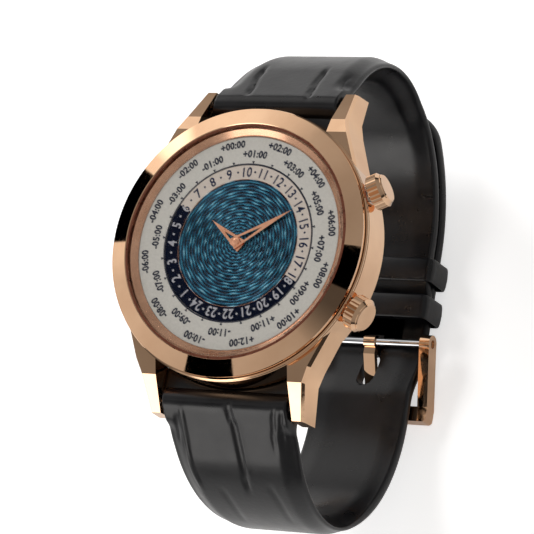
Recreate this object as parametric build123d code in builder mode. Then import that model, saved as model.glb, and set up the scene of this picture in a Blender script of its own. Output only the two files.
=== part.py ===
from build123d import *
import os
from math import acos, cos, hypot, pi, radians, sin, tan

# World time wristwatch on a buckled leather strap, in millimetres.
# The origin is the centre of the case back, +Z points out of the dial,
# +Y points to 12 o'clock and +X to the crowns.

# Case, built outwards from the dial's rings
case_wall = 3.3
case_top = 7.4
case_bottom = 0.9
flank_bottom = 2.4
underside_run = 1.6
underside_step = 0.6
case_edge = 0.15

# Lugs
lug_gap = 20.4
lug_length = 3.85
lug_root_depth = 9.2
lug_shoulder_depth = 2.9
lug_knee_depth = 0.8
lug_root_drop = 0.15
lug_shoulder_drop = 0.3
lug_knee_drop = 1.15
lug_tip_drop = 4.33
lug_root_thickness = 4.2
lug_shoulder_thickness = 4.0
lug_knee_thickness = 3.17
lug_tip_thickness = 3.39
lug_root_width = 5.7
lug_shoulder_width = 3.02
lug_knee_width = 2.13
lug_tip_width = 1.35
lug_bevel_width = 0.32
lug_bevel_drop = 0.55
lug_root_flare = 0.2
lug_shoulder_flare = 0.5
lug_knee_flare = 0.8
lug_tip_flare = 0.25

# Bezel
bezel_step = 0.3
bezel_width = 2.7
bezel_bead_height = 0.45
bezel_bead_round = 0.15
bezel_groove_depth = 0.3
bezel_groove_height = 0.15
bezel_rise = 0.7
bezel_above_rehaut = 0.55
bezel_lip = 0.12

# Dial, from the plate up
dial_rise = 0.7
dial_plate_thickness = 0.4
dial_plate_clearance = 0.1
ring_thickness = 0.45
ring_lip_thickness = 0.2
ring_lip_width = 1.15
centre_dial_radius = 9.12
centre_dial_thickness = 0.22
hour24_width = 2.03
ring_gap = 0.1
city_width = 4.0
rehaut_width = 1.4
ring_clearance = 0.05
boss_clearance = 0.05

# Rehaut, crystal and gasket
rehaut_clearance = 0.1
rehaut_step = 0.05
rehaut_rise = 0.6
rehaut_run = 0.95
rehaut_ledge = 0.2
crystal_gasket_width = 0.3
crystal_gasket_height = 0.45
crystal_thickness = 0.75
crystal_bevel = 0.25

# Hands and their arbors
hour_hand_height = 0.12
hour_hand_thickness = 0.12
hour_hand_length = 5.3
hour_hand_base = 1.9
hour_hand_tail = 1.05
hour_hand_angle = 304.8
minute_hand_height = 0.34
minute_hand_thickness = 0.1
minute_hand_length = 9.2
minute_hand_base = 1.7
minute_hand_tail = 0.65
minute_hand_angle = 58.0
hand_frame_width = 0.26
hand_hub_width = 0.16
slot_point_share = 0.48
hour_pipe_radius = 0.62
hour_pipe_bore = 0.42
hour_pipe_depth = 1.5
hour_pipe_overrun = 0.04
cannon_radius = 0.37
cannon_depth = 1.7
cannon_cap_radius = 0.52
cannon_cap_height = 0.12
arbor_clearance = 0.05

# Movement
holder_bottom = 2.7
holder_wall = 1.25
holder_clearance = 0.05
mainplate_bottom = 4.9
mainplate_clearance = 0.05
bridge_bottom = 3.3
bridge_inset = 0.55
bridge_gap = 0.3
bridge_split = 1.3
bridge_bevel = 0.12
train_bridge_left = 1.2
balance_inset = 0.9
balance_angle = 240.0
balance_radius = 4.4
balance_rim_width = 0.55
balance_rim_bottom = 4.15
balance_rim_height = 0.4
balance_arm_width = 0.45
balance_hub_radius = 0.6
balance_well_clearance = 0.5
balance_well_depth = 0.4
staff_radius = 0.25
staff_end_play = 0.1
cock_thickness = 0.65
cock_width = 3.0
cock_foot_inset = 2.6
cock_foot_angle = 193.0
cock_foot_clearance = 0.5
pivot_clearance = 0.04

# Winding wheels
tooth_module = 0.22
tooth_backlash = 0.04
ratchet_teeth = 36
crown_wheel_teeth = 24
pressure_angle = 20.0
flank_steps = 2
addendum_share = 0.95
dedendum_share = 1.25
ratchet_inset = 2.1
ratchet_angle = 112.8
winding_line_angle = 17.0
winding_wheel_thickness = 0.35
winding_wheel_clearance = 0.05
winding_arbor_radius = 0.8
winding_arbor_depth = 0.9
winding_screw_radius = 1.1
winding_screw_height = 0.15

# Jewels and screws let into the bridges
jewel_radius = 0.75
jewel_depth = 0.4
screw_radius = 0.85
screw_depth = 0.45
screw_slot_width = 0.22
screw_slot_depth = 0.15
rim_screw_inset = 1.3
train_jewel_inset = 6.9

# Rotor and its bearing
rotor_clearance = 0.9
rotor_bottom = 1.7
rotor_rim_width = 1.7
rotor_rim_height = 0.95
rotor_web_height = 0.4
rotor_web_lift = 0.3
rotor_hub_radius = 2.6
rotor_bearing_radius = 1.2
rotor_bearing_flange = 1.9
rotor_bearing_flange_height = 0.25
rotor_window_margin = 1.1
rotor_window_sweep = 44.0
rotor_angle = 200.0

# Case back
back_edge_run = 0.7
back_edge_height = 0.7
back_neck_wall = 1.0
back_neck_height = 1.7
back_neck_clearance = 0.05
back_ledge_width = 0.5
back_ledge_height = 0.25
back_bore_inset = 0.75
back_crystal_thickness = 1.1
back_gasket_width = 0.25
back_gasket_height = 0.8
back_gasket_lift = 0.15

# Crowns
crown_angle = 24.4
crown_height = 5.75
crown_radius = 2.45
crown_gap = 0.45
crown_band_length = 1.6
crown_cone_length = 0.4
crown_face_radius = 2.05
crown_face_height = 0.25
crown_face_round = 0.15
flute_count = 22
crown_flute_width = 0.5
crown_flute_depth = 0.26
crown_inner_edge = 0.12
crown_cavity_radius = 1.6
crown_cavity_depth = 1.2
tube_radius = 1.45
tube_bore = 0.85
tube_sink = 2.6
tube_end_gap = 0.25
stem_radius = 0.8
stem_sink = 5.5
stem_bore_clearance = 0.05

# Spring bars
bar_inset = 1.85
bar_drop = 4.7
bar_radius = 0.75
bar_pin_radius = 0.4
bar_pin_length = 1.1
bar_end_gap = 0.15
bar_hole_clearance = 0.03

# Strap
strap_side_gap = 0.2
strap_end_radius = 1.94
strap_heel_top = 0.6
strap_heel_thickness = 2.0
strap_heel_gap = 0.2
strap_thickness = 4.2
strap_end_thickness = 2.2
strap_end_width = 16.0
strap_lead = 8.0
strap_bend_radius = 20.0
strap_layer_gap = 0.3
strap_taper_start = 4.0
strap_taper_drop = 8.0
strap_tail_angle = 56.0
strap_tip_round = 5.0
strap_lead_angle = 45.0
strap_thin_angle = 55.0

# Buckle, keepers and tongue
buckle_bar_y = -1.5
buckle_bar_radius = 0.6
buckle_side_gap = 0.4
buckle_side_width = 1.6
buckle_boss_radius = 1.35
buckle_reach = 9.1
buckle_beam_width = 2.2
buckle_beam_thickness = 2.6
buckle_beam_round = 0.6
buckle_notch_depth = 0.5
buckle_notch_gap = 0.2
buckle_bar_sink = 1.0
buckle_ramp_length = 7.5
buckle_ramp_lead = 0.4
tongue_width = 1.8
tongue_thickness = 1.0
tongue_eye_radius = 0.95
tongue_tip_overhang = 0.5
tongue_slot_gap = 0.3
tongue_slot_back = 1.4
tongue_root_length = 1.9
tongue_root_drop = 0.8
strap_hole_length = 5.2
strap_hole_width = 2.6
strap_hole_offset = 4.1
keeper_wall = 0.7
keeper_width = 3.6
keeper_gap = 0.3
keeper_round = 0.6
fixed_keeper_offset = 5.3
sliding_keeper_offset = 10.9

# Shared by all cuts
overrun = 1.0

hour24_outer_radius = centre_dial_radius + hour24_width
city_inner_radius = hour24_outer_radius + ring_gap
city_outer_radius = city_inner_radius + city_width
dial_opening_radius = city_outer_radius + ring_clearance
rehaut_radius = dial_opening_radius + rehaut_width
bezel_bore_radius = rehaut_radius + rehaut_clearance
case_radius = bezel_bore_radius + bezel_width
case_bore_radius = case_radius - case_wall
holder_outer = case_bore_radius - holder_clearance
holder_inner = holder_outer - holder_wall
mainplate_radius = holder_inner - mainplate_clearance
lug_tip_y = case_radius + lug_length
bar_y = lug_tip_y - bar_inset
bar_z = case_top - bar_drop
dial_plate_radius = case_bore_radius - dial_plate_clearance
dial_height = case_top + dial_rise
ring_bottom = dial_height - ring_thickness
dial_plate_top = ring_bottom - ring_clearance
dial_plate_bottom = dial_plate_top - dial_plate_thickness
lip_top = ring_bottom + ring_lip_thickness
centre_dial_bottom = dial_height + ring_clearance / 2 - centre_dial_thickness
rehaut_top = dial_height + rehaut_step + rehaut_rise
crystal_radius = bezel_bore_radius - crystal_gasket_width
crystal_top = rehaut_top + crystal_thickness
centre_hole_radius = hour_pipe_radius + arbor_clearance
bridge_radius = mainplate_radius - bridge_inset
rotor_radius = holder_inner - rotor_clearance
crown_directions = {"upper": crown_angle, "lower": -crown_angle}


def save(part, label):
    part.part.label = label
    export_step(part.part, "parts/" + label + ".step")


def ring(inner, outer, bottom, top):
    with BuildPart() as part:
        with BuildSketch(Plane.XY.offset(bottom)):
            Circle(outer)
            if inner > 0:
                Circle(inner, mode=Mode.SUBTRACT)
        extrude(amount=top - bottom)
    return part


def turned(points):
    with BuildPart() as part:
        with BuildSketch(Plane.XZ):
            with BuildLine():
                Polyline(*points, close=True)
            make_face()
        revolve(axis=Axis.Z)
    return part


def polar(radius, angle):
    return (radius * cos(radians(angle)), radius * sin(radians(angle)))


def direction(angle):
    return (cos(radians(angle)), sin(radians(angle)), 0)


def outward(angle):
    # Looks along a crown's axis, from the watch's axis.
    return Plane(origin=(0, 0, crown_height), z_dir=direction(angle))


def radial_plane(angle):
    return Plane(origin=(0, 0, crown_height), x_dir=direction(angle), z_dir=direction(angle + 90))


def radial_axis(angle):
    return Axis((0, 0, crown_height), direction(angle))


def radial_bore(angle, radius, start, end):
    # A round hole along a crown's axis, between two distances from the watch's axis.
    with BuildSketch(outward(angle).offset(start)) as hole:
        Circle(radius)
    extrude(hole.sketch, amount=end - start, mode=Mode.SUBTRACT)


os.makedirs("parts", exist_ok=True)

# Case middle: a turned body with four faceted lugs, bored for the movement.


def lug_section(y, top, thickness, width, flare):
    inner = lug_gap / 2
    outer = inner + width
    with BuildSketch(Plane.XZ.offset(-y)) as section:
        with BuildLine():
            Polyline(
                (inner, top),
                (outer, top),
                (outer + lug_bevel_width, top - lug_bevel_drop),
                (outer + lug_bevel_width + flare, top - thickness),
                (inner, top - thickness),
                close=True,
            )
        make_face()
    return section.sketch


with BuildPart() as lug:
    root_section = lug_section(case_radius - lug_root_depth, case_top - lug_root_drop,
                               lug_root_thickness, lug_root_width, lug_root_flare)
    shoulder_section = lug_section(case_radius - lug_shoulder_depth, case_top - lug_shoulder_drop,
                                   lug_shoulder_thickness, lug_shoulder_width, lug_shoulder_flare)
    knee_section = lug_section(case_radius - lug_knee_depth, case_top - lug_knee_drop,
                               lug_knee_thickness, lug_knee_width, lug_knee_flare)
    tip_section = lug_section(lug_tip_y, case_top - lug_tip_drop, lug_tip_thickness,
                              lug_tip_width, lug_tip_flare)
    loft([root_section, shoulder_section, knee_section, tip_section], ruled=True)
    pin_hole_start = lug_gap / 2 - overrun
    with BuildSketch(Plane(origin=(pin_hole_start, bar_y, bar_z), z_dir=(1, 0, 0))):
        Circle(bar_pin_radius + bar_hole_clearance)
    extrude(amount=overrun + bar_pin_length + bar_end_gap, mode=Mode.SUBTRACT)

with BuildPart() as case_middle:
    with BuildSketch(Plane.XZ):
        with BuildLine():
            Polyline(
                (0, case_top),
                (0, case_bottom),
                (case_radius - underside_run, case_bottom),
                (case_radius - underside_step, case_bottom + underside_step),
                (case_radius, flank_bottom),
                (case_radius, case_top - case_edge),
                (case_radius - case_edge, case_top),
                (0, case_top),
            )
        make_face()
    revolve(axis=Axis.Z)
    add(lug.part)
    add(mirror(lug.part, about=Plane.YZ))
    add(mirror(lug.part, about=Plane.XZ))
    add(mirror(mirror(lug.part, about=Plane.YZ), about=Plane.XZ))
    with BuildSketch(Plane.XY.offset(case_bottom - overrun)):
        Circle(case_bore_radius)
    extrude(amount=case_top - case_bottom + 2 * overrun, mode=Mode.SUBTRACT)
    for direction_angle in crown_directions.values():
        radial_bore(direction_angle, tube_radius, case_bore_radius - overrun, case_radius + overrun)
save(case_middle, "case_middle")

# Bezel: a bead on the case, a groove, an upright wall and a slanted face.

bezel_radius = case_radius - bezel_step
bead_top = case_top + bezel_bead_height
groove_top = bead_top + bezel_groove_height
bezel_top = rehaut_top + bezel_above_rehaut
bezel_wall_top = bezel_top - bezel_rise
bezel = turned([
    (bezel_bore_radius, case_top),
    (case_radius - bezel_bead_round, case_top),
    (case_radius, case_top + bezel_bead_round),
    (case_radius, bead_top - bezel_bead_round),
    (case_radius - bezel_bead_round, bead_top),
    (bezel_radius - bezel_groove_depth, bead_top),
    (bezel_radius - bezel_groove_depth, groove_top),
    (bezel_radius, groove_top),
    (bezel_radius, bezel_wall_top),
    (bezel_bore_radius + bezel_lip, bezel_top),
    (bezel_bore_radius, bezel_top - bezel_lip),
])
save(bezel, "bezel")

# Crystal, its gasket, and the sloping ring round the dial.

crystal_gasket = ring(crystal_radius, bezel_bore_radius, rehaut_top, rehaut_top + crystal_gasket_height)
save(crystal_gasket, "crystal_gasket")

crystal = turned([
    (0, rehaut_top),
    (crystal_radius, rehaut_top),
    (crystal_radius, crystal_top - crystal_bevel),
    (crystal_radius - crystal_bevel, crystal_top),
    (0, crystal_top),
])
save(crystal, "crystal")

rehaut_ring = turned([
    (dial_opening_radius, dial_plate_top),
    (rehaut_radius, dial_plate_top),
    (rehaut_radius, rehaut_top),
    (dial_opening_radius + rehaut_run, rehaut_top),
    (dial_opening_radius + rehaut_ledge, dial_height + rehaut_step),
    (dial_opening_radius, dial_height + rehaut_step),
])
save(rehaut_ring, "rehaut_ring")

# Dial: a plate with a boss, the engine-turned centre disc on it, and two rings that turn round it.

boss_radius = centre_dial_radius - ring_lip_width
dial_plate = turned([
    (centre_hole_radius, dial_plate_bottom),
    (dial_plate_radius, dial_plate_bottom),
    (dial_plate_radius, dial_plate_top),
    (boss_radius - boss_clearance, dial_plate_top),
    (boss_radius - boss_clearance, centre_dial_bottom),
    (centre_hole_radius, centre_dial_bottom),
])
save(dial_plate, "dial_plate")

centre_dial = ring(centre_hole_radius, centre_dial_radius, centre_dial_bottom,
                   centre_dial_bottom + centre_dial_thickness)
save(centre_dial, "centre_dial")

hour24_ring = turned([
    (boss_radius, ring_bottom),
    (hour24_outer_radius, ring_bottom),
    (hour24_outer_radius, dial_height),
    (centre_dial_radius + ring_clearance, dial_height),
    (centre_dial_radius + ring_clearance, lip_top),
    (boss_radius, lip_top),
])
save(hour24_ring, "hour24_ring")

city_ring = ring(city_inner_radius, city_outer_radius, ring_bottom, dial_height)
save(city_ring, "city_ring")

# Hands: open triangles with a square base round the hub, on a pipe and an arbor that share one axis.


def hand(length, base, tail, bottom, thickness, bore, clock_angle):
    half = base / 2
    side = hand_frame_width * hypot(length + tail, half) / (length + tail)
    slot_point = length * slot_point_share
    slot_base = hand_frame_width - tail
    slot_half = half * (length - slot_base) / (length + tail) - side
    hub = bore + hand_hub_width
    with BuildPart() as part:
        with BuildSketch(Plane.XY.offset(bottom).rotated((0, 0, -clock_angle))):
            with BuildLine():
                Polyline((0, length), (half, -tail), (-half, -tail), close=True)
            make_face()
            with BuildLine():
                Polyline((-slot_half, slot_base), (slot_half, slot_base), (0, slot_point), close=True)
            make_face(mode=Mode.SUBTRACT)
            Rectangle(2 * hub, 2 * hub)
            Circle(bore, mode=Mode.SUBTRACT)
        extrude(amount=thickness)
    return part


hour_hand_bottom = dial_height + hour_hand_height
hour_hand_top = hour_hand_bottom + hour_hand_thickness
minute_hand_bottom = dial_height + minute_hand_height
minute_hand_top = minute_hand_bottom + minute_hand_thickness

hour_hand = hand(hour_hand_length, hour_hand_base, hour_hand_tail, hour_hand_bottom,
                 hour_hand_thickness, hour_pipe_radius, hour_hand_angle)
save(hour_hand, "hour_hand")

minute_hand = hand(minute_hand_length, minute_hand_base, minute_hand_tail, minute_hand_bottom,
                   minute_hand_thickness, cannon_radius, minute_hand_angle)
save(minute_hand, "minute_hand")

hour_pipe = ring(hour_pipe_bore, hour_pipe_radius, dial_height - hour_pipe_depth,
                 hour_hand_top + hour_pipe_overrun)
save(hour_pipe, "hour_pipe")

cannon_pinion = turned([
    (0, dial_height - cannon_depth),
    (cannon_radius, dial_height - cannon_depth),
    (cannon_radius, minute_hand_top),
    (cannon_cap_radius, minute_hand_top),
    (cannon_cap_radius, minute_hand_top + cannon_cap_height / 2),
    (cannon_radius, minute_hand_top + cannon_cap_height),
    (0, minute_hand_top + cannon_cap_height),
])
save(cannon_pinion, "cannon_pinion")

# Movement holder and mainplate, drilled for the stems.

with BuildPart() as movement_holder:
    with BuildSketch(Plane.XY.offset(holder_bottom)):
        Circle(holder_outer)
        Circle(holder_inner, mode=Mode.SUBTRACT)
    extrude(amount=dial_plate_bottom - holder_bottom)
    for direction_angle in crown_directions.values():
        radial_bore(direction_angle, tube_radius + holder_clearance, holder_inner - overrun,
                    holder_outer + overrun)
save(movement_holder, "movement_holder")

stem_inner_end = case_radius - stem_sink
balance_centre = polar(bridge_radius - balance_inset - balance_radius, balance_angle)
with BuildPart() as mainplate:
    with BuildSketch(Plane.XY.offset(mainplate_bottom)):
        Circle(mainplate_radius)
    extrude(amount=dial_plate_bottom - mainplate_bottom)
    with BuildSketch(Plane.XY.offset(dial_height - cannon_depth - arbor_clearance)):
        Circle(centre_hole_radius)
    extrude(amount=cannon_depth + overrun, mode=Mode.SUBTRACT)
    with BuildSketch(Plane.XY.offset(mainplate_bottom - overrun)):
        with Locations(balance_centre):
            Circle(balance_radius + balance_well_clearance)
    extrude(amount=overrun + balance_well_depth, mode=Mode.SUBTRACT)
    with BuildSketch(Plane.XY.offset(mainplate_bottom)):
        with Locations(balance_centre):
            Circle(staff_radius + pivot_clearance)
    extrude(amount=balance_well_depth * 2 + staff_end_play, mode=Mode.SUBTRACT)
    for direction_angle in crown_directions.values():
        radial_bore(direction_angle, stem_radius + stem_bore_clearance, stem_inner_end - stem_bore_clearance,
                    mainplate_radius + overrun)
save(mainplate, "mainplate")

# Bridges on the back of the mainplate, with jewels and screws let into them.

line_direction = direction(winding_line_angle)
ratchet_pitch_radius = tooth_module * ratchet_teeth / 2
crown_wheel_pitch_radius = tooth_module * crown_wheel_teeth / 2
winding_distance = ratchet_pitch_radius + crown_wheel_pitch_radius
ratchet_reach = ratchet_pitch_radius + ratchet_inset
ratchet_centre = polar(bridge_radius - ratchet_reach, ratchet_angle)
crown_wheel_centre = (
    ratchet_centre[0] + winding_distance * line_direction[0],
    ratchet_centre[1] + winding_distance * line_direction[1],
)
rim_screw_radius = bridge_radius - rim_screw_inset
train_jewel_radius = bridge_radius - train_jewel_inset

barrel_screw_angles = (12, 68, 112, 168)
train_screw_angles = (-22, -72)
train_jewel_angles = (-28, -52, -76)
barrel_jewel_angles = (35, 152)


barrel_screws = [polar(rim_screw_radius, angle) for angle in barrel_screw_angles]
train_screws = [polar(rim_screw_radius, angle) for angle in train_screw_angles]
train_jewels = [polar(train_jewel_radius, angle) for angle in train_jewel_angles]
barrel_jewels = [polar(train_jewel_radius, angle) for angle in barrel_jewel_angles]
cock_foot = polar(bridge_radius - cock_foot_inset, cock_foot_angle)


def sink(places, radius, depth):
    with BuildSketch(Plane.XY.offset(bridge_bottom - overrun)) as pockets:
        with Locations(*places):
            Circle(radius)
    extrude(pockets.sketch, amount=overrun + depth, mode=Mode.SUBTRACT)


with BuildPart() as barrel_bridge:
    with BuildSketch(Plane.XY.offset(bridge_bottom)):
        Circle(bridge_radius)
        with Locations((0, -bridge_split)):
            Rectangle(2 * bridge_radius, 2 * bridge_radius, align=(Align.CENTER, Align.MIN),
                      mode=Mode.INTERSECT)
        with Locations(balance_centre):
            Circle(balance_radius + balance_well_clearance, mode=Mode.SUBTRACT)
        with Locations(cock_foot):
            Circle(cock_width / 2 + bridge_gap, mode=Mode.SUBTRACT)
    extrude(amount=mainplate_bottom - bridge_bottom)
    chamfer(barrel_bridge.faces().sort_by(Axis.Z)[0].outer_wire().edges(), bridge_bevel)
    sink([ratchet_centre, crown_wheel_centre],
         winding_arbor_radius + arbor_clearance, winding_arbor_depth + arbor_clearance)
    sink(barrel_screws, screw_radius, screw_depth)
    sink(barrel_jewels, jewel_radius, jewel_depth)
save(barrel_bridge, "barrel_bridge")

with BuildPart() as train_bridge:
    with BuildSketch(Plane.XY.offset(bridge_bottom)):
        Circle(bridge_radius)
        with Locations((train_bridge_left, -bridge_split - bridge_gap)):
            Rectangle(bridge_radius, bridge_radius, align=(Align.MIN, Align.MAX), mode=Mode.INTERSECT)
        with Locations(balance_centre):
            Circle(balance_radius + balance_well_clearance, mode=Mode.SUBTRACT)
    extrude(amount=mainplate_bottom - bridge_bottom)
    chamfer(train_bridge.faces().sort_by(Axis.Z)[0].outer_wire().edges(), bridge_bevel)
    sink(train_screws, screw_radius, screw_depth)
    sink(train_jewels, jewel_radius, jewel_depth)
save(train_bridge, "train_bridge")

cock_vector = (balance_centre[0] - cock_foot[0], balance_centre[1] - cock_foot[1])
cock_run = hypot(cock_vector[0], cock_vector[1])
cock_plane = Plane(
    origin=((balance_centre[0] + cock_foot[0]) / 2, (balance_centre[1] + cock_foot[1]) / 2, bridge_bottom),
    x_dir=(cock_vector[0], cock_vector[1], 0),
    z_dir=(0, 0, 1),
)
with BuildPart() as balance_cock:
    with BuildSketch(cock_plane):
        SlotCenterToCenter(cock_run, cock_width)
    extrude(amount=mainplate_bottom - bridge_bottom)
    chamfer(balance_cock.faces().sort_by(Axis.Z)[0].outer_wire().edges(), bridge_bevel)
    with BuildSketch(Plane.XY.offset(bridge_bottom + cock_thickness)):
        with Locations(balance_centre):
            Circle(balance_radius + cock_foot_clearance)
    extrude(amount=mainplate_bottom - bridge_bottom, mode=Mode.SUBTRACT)
    with BuildSketch(Plane.XY.offset(bridge_bottom)):
        with Locations(balance_centre):
            Circle(staff_radius + pivot_clearance)
    extrude(amount=cock_thickness, mode=Mode.SUBTRACT)
    sink([balance_centre], jewel_radius, jewel_depth / 2)
    sink([cock_foot], screw_radius, screw_depth)
save(balance_cock, "balance_cock")

with BuildPart() as jewels:
    with BuildSketch(Plane.XY.offset(bridge_bottom)):
        with Locations(*train_jewels, *barrel_jewels):
            Circle(jewel_radius)
    extrude(amount=jewel_depth)
    with BuildSketch(Plane.XY.offset(bridge_bottom)):
        with Locations(balance_centre):
            Circle(jewel_radius)
    extrude(amount=jewel_depth / 2)
save(jewels, "jewels")

with BuildPart() as bridge_screws:
    with BuildSketch(Plane.XY.offset(bridge_bottom)):
        with Locations(*train_screws, *barrel_screws, cock_foot):
            Circle(screw_radius)
    extrude(amount=screw_depth)
    with BuildSketch(Plane.XY.offset(bridge_bottom - overrun)):
        with Locations(*train_screws, *barrel_screws, cock_foot):
            Rectangle(2 * screw_radius + overrun, screw_slot_width)
    extrude(amount=overrun + screw_slot_depth, mode=Mode.SUBTRACT)
save(bridge_screws, "bridge_screws")

# Balance: a rim on two arms with a staff that turns in the cock and the mainplate.

staff_bottom = bridge_bottom + jewel_depth / 2 + staff_end_play
staff_top = mainplate_bottom + 2 * balance_well_depth
with BuildPart() as balance_wheel:
    with BuildSketch(Plane.XY.offset(balance_rim_bottom)):
        with Locations(balance_centre):
            Circle(balance_radius)
            Circle(balance_radius - balance_rim_width, mode=Mode.SUBTRACT)
            Rectangle(2 * balance_radius - balance_rim_width, balance_arm_width)
            Circle(balance_hub_radius)
    extrude(amount=balance_rim_height)
    with BuildSketch(Plane.XY.offset(staff_bottom)):
        with Locations(balance_centre):
            Circle(staff_radius)
    extrude(amount=staff_top - staff_bottom)
save(balance_wheel, "balance_wheel")

# Winding wheels: two spur wheels in mesh on the barrel bridge, each turning on its own arbor.


def tooth_points(teeth, phase):
    # Involute flanks, from the root up one side of each tooth and down the other.
    pitch = tooth_module * teeth / 2
    base = pitch * cos(radians(pressure_angle))
    tip = pitch + tooth_module * addendum_share
    root = pitch - tooth_module * dedendum_share
    half_tooth = pi / (2 * teeth) - tooth_backlash / (2 * pitch)
    involute_at_pitch = tan(radians(pressure_angle)) - radians(pressure_angle)
    start = max(base, root)
    points = []
    for tooth in range(teeth):
        centre = radians(phase) + 2 * pi * tooth / teeth
        side = []
        for step in range(flank_steps + 1):
            radius = start + (tip - start) * step / flank_steps
            roll = acos(base / radius)
            offset_angle = half_tooth + involute_at_pitch - (tan(roll) - roll)
            side.append((radius, offset_angle))
        side.insert(0, (root, side[0][1]))
        for radius, offset_angle in side:
            points.append((radius * cos(centre - offset_angle), radius * sin(centre - offset_angle)))
        for radius, offset_angle in reversed(side):
            points.append((radius * cos(centre + offset_angle), radius * sin(centre + offset_angle)))
    return points


def winding_wheel(centre, teeth, phase):
    top = bridge_bottom - winding_wheel_clearance
    bottom = top - winding_wheel_thickness
    screw_bottom = bottom - winding_screw_height
    with BuildPart() as part:
        with BuildSketch(Plane(origin=(centre[0], centre[1], bottom))):
            with BuildLine():
                Polyline(*tooth_points(teeth, phase), close=True)
            make_face()
        extrude(amount=winding_wheel_thickness)
        with BuildSketch(Plane(origin=(centre[0], centre[1], top))):
            Circle(winding_arbor_radius)
        extrude(amount=winding_wheel_clearance + winding_arbor_depth)
        with BuildSketch(Plane(origin=(centre[0], centre[1], screw_bottom))):
            Circle(winding_screw_radius)
        extrude(amount=winding_screw_height)
        with BuildSketch(Plane(origin=(centre[0], centre[1], screw_bottom))):
            Rectangle(2 * winding_screw_radius, screw_slot_width)
        extrude(amount=winding_screw_height / 2, mode=Mode.SUBTRACT)
    return part


ratchet_wheel = winding_wheel(ratchet_centre, ratchet_teeth, winding_line_angle)
save(ratchet_wheel, "ratchet_wheel")

facing_phase = winding_line_angle + 180 + 180 / crown_wheel_teeth
crown_wheel = winding_wheel(crown_wheel_centre, crown_wheel_teeth, facing_phase)
save(crown_wheel, "crown_wheel")

# Rotor: a half disc with a heavy rim and three windows, on a flanged bearing.

rotor_web_bottom = rotor_bottom + rotor_web_lift
rotor_hub_bore = rotor_bearing_radius + arbor_clearance
window_inner = rotor_hub_radius + rotor_window_margin
window_outer = rotor_radius - rotor_rim_width - rotor_window_margin
window_angles = (-56, 0, 56)
rotor_plane = Plane.XY.rotated((0, 0, rotor_angle))
with BuildPart() as rotor:
    with BuildSketch(rotor_plane.offset(rotor_web_bottom)):
        Circle(rotor_radius)
        Rectangle(2 * rotor_radius, 2 * rotor_radius, align=(Align.MIN, Align.CENTER), mode=Mode.INTERSECT)
        Circle(rotor_hub_radius)
        for window_angle in window_angles:
            with BuildLine():
                low = window_angle - rotor_window_sweep / 2
                high = window_angle + rotor_window_sweep / 2
                CenterArc((0, 0), window_outer, low, rotor_window_sweep)
                Line(polar(window_outer, high), polar(window_inner, high))
                CenterArc((0, 0), window_inner, low, rotor_window_sweep)
                Line(polar(window_inner, low), polar(window_outer, low))
            make_face(mode=Mode.SUBTRACT)
        Circle(rotor_hub_bore, mode=Mode.SUBTRACT)
    extrude(amount=rotor_web_height)
    with BuildSketch(rotor_plane.offset(rotor_bottom)):
        Circle(rotor_radius)
        Circle(rotor_radius - rotor_rim_width, mode=Mode.SUBTRACT)
        Rectangle(2 * rotor_radius, 2 * rotor_radius, align=(Align.MIN, Align.CENTER), mode=Mode.INTERSECT)
    extrude(amount=rotor_rim_height)
save(rotor, "rotor")

rotor_bearing = turned([
    (0, rotor_bottom),
    (rotor_bearing_flange, rotor_bottom),
    (rotor_bearing_flange, rotor_bottom + rotor_bearing_flange_height),
    (rotor_bearing_radius, rotor_bottom + rotor_bearing_flange_height),
    (rotor_bearing_radius, bridge_bottom),
    (0, bridge_bottom),
])
save(rotor_bearing, "rotor_bearing")

# Case back: a ring with a neck in the case, a flush window and its gasket.

back_outer_radius = case_radius - underside_run
back_neck_radius = case_bore_radius - back_neck_clearance
back_bore_radius = back_neck_radius - back_neck_wall - back_bore_inset
back_ledge_bottom = back_crystal_thickness
back_ledge_top = back_ledge_bottom + back_ledge_height
caseback_ring = turned([
    (back_bore_radius, 0),
    (back_outer_radius - back_edge_run, 0),
    (back_outer_radius, back_edge_height),
    (back_outer_radius, case_bottom),
    (back_neck_radius, case_bottom),
    (back_neck_radius, case_bottom + back_neck_height),
    (back_neck_radius - back_neck_wall, case_bottom + back_neck_height),
    (back_neck_radius - back_neck_wall, back_ledge_top),
    (back_bore_radius - back_ledge_width, back_ledge_top),
    (back_bore_radius - back_ledge_width, back_ledge_bottom),
    (back_bore_radius, back_ledge_bottom),
])
save(caseback_ring, "caseback_ring")

back_crystal_radius = back_bore_radius - back_gasket_width
caseback_crystal = ring(0, back_crystal_radius, 0, back_crystal_thickness)
save(caseback_crystal, "caseback_crystal")

caseback_gasket = ring(back_crystal_radius, back_bore_radius, back_gasket_lift,
                       back_gasket_lift + back_gasket_height)
save(caseback_gasket, "caseback_gasket")

# Crowns: a fluted band, a polished cone and a flat end, on a stem in a tube in the case.

crown_inner_end = case_radius + crown_gap
crown_band_end = crown_inner_end + crown_band_length
crown_cone_end = crown_band_end + crown_cone_length
crown_end = crown_cone_end + crown_face_height
cavity_end = crown_inner_end + crown_cavity_depth


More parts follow.
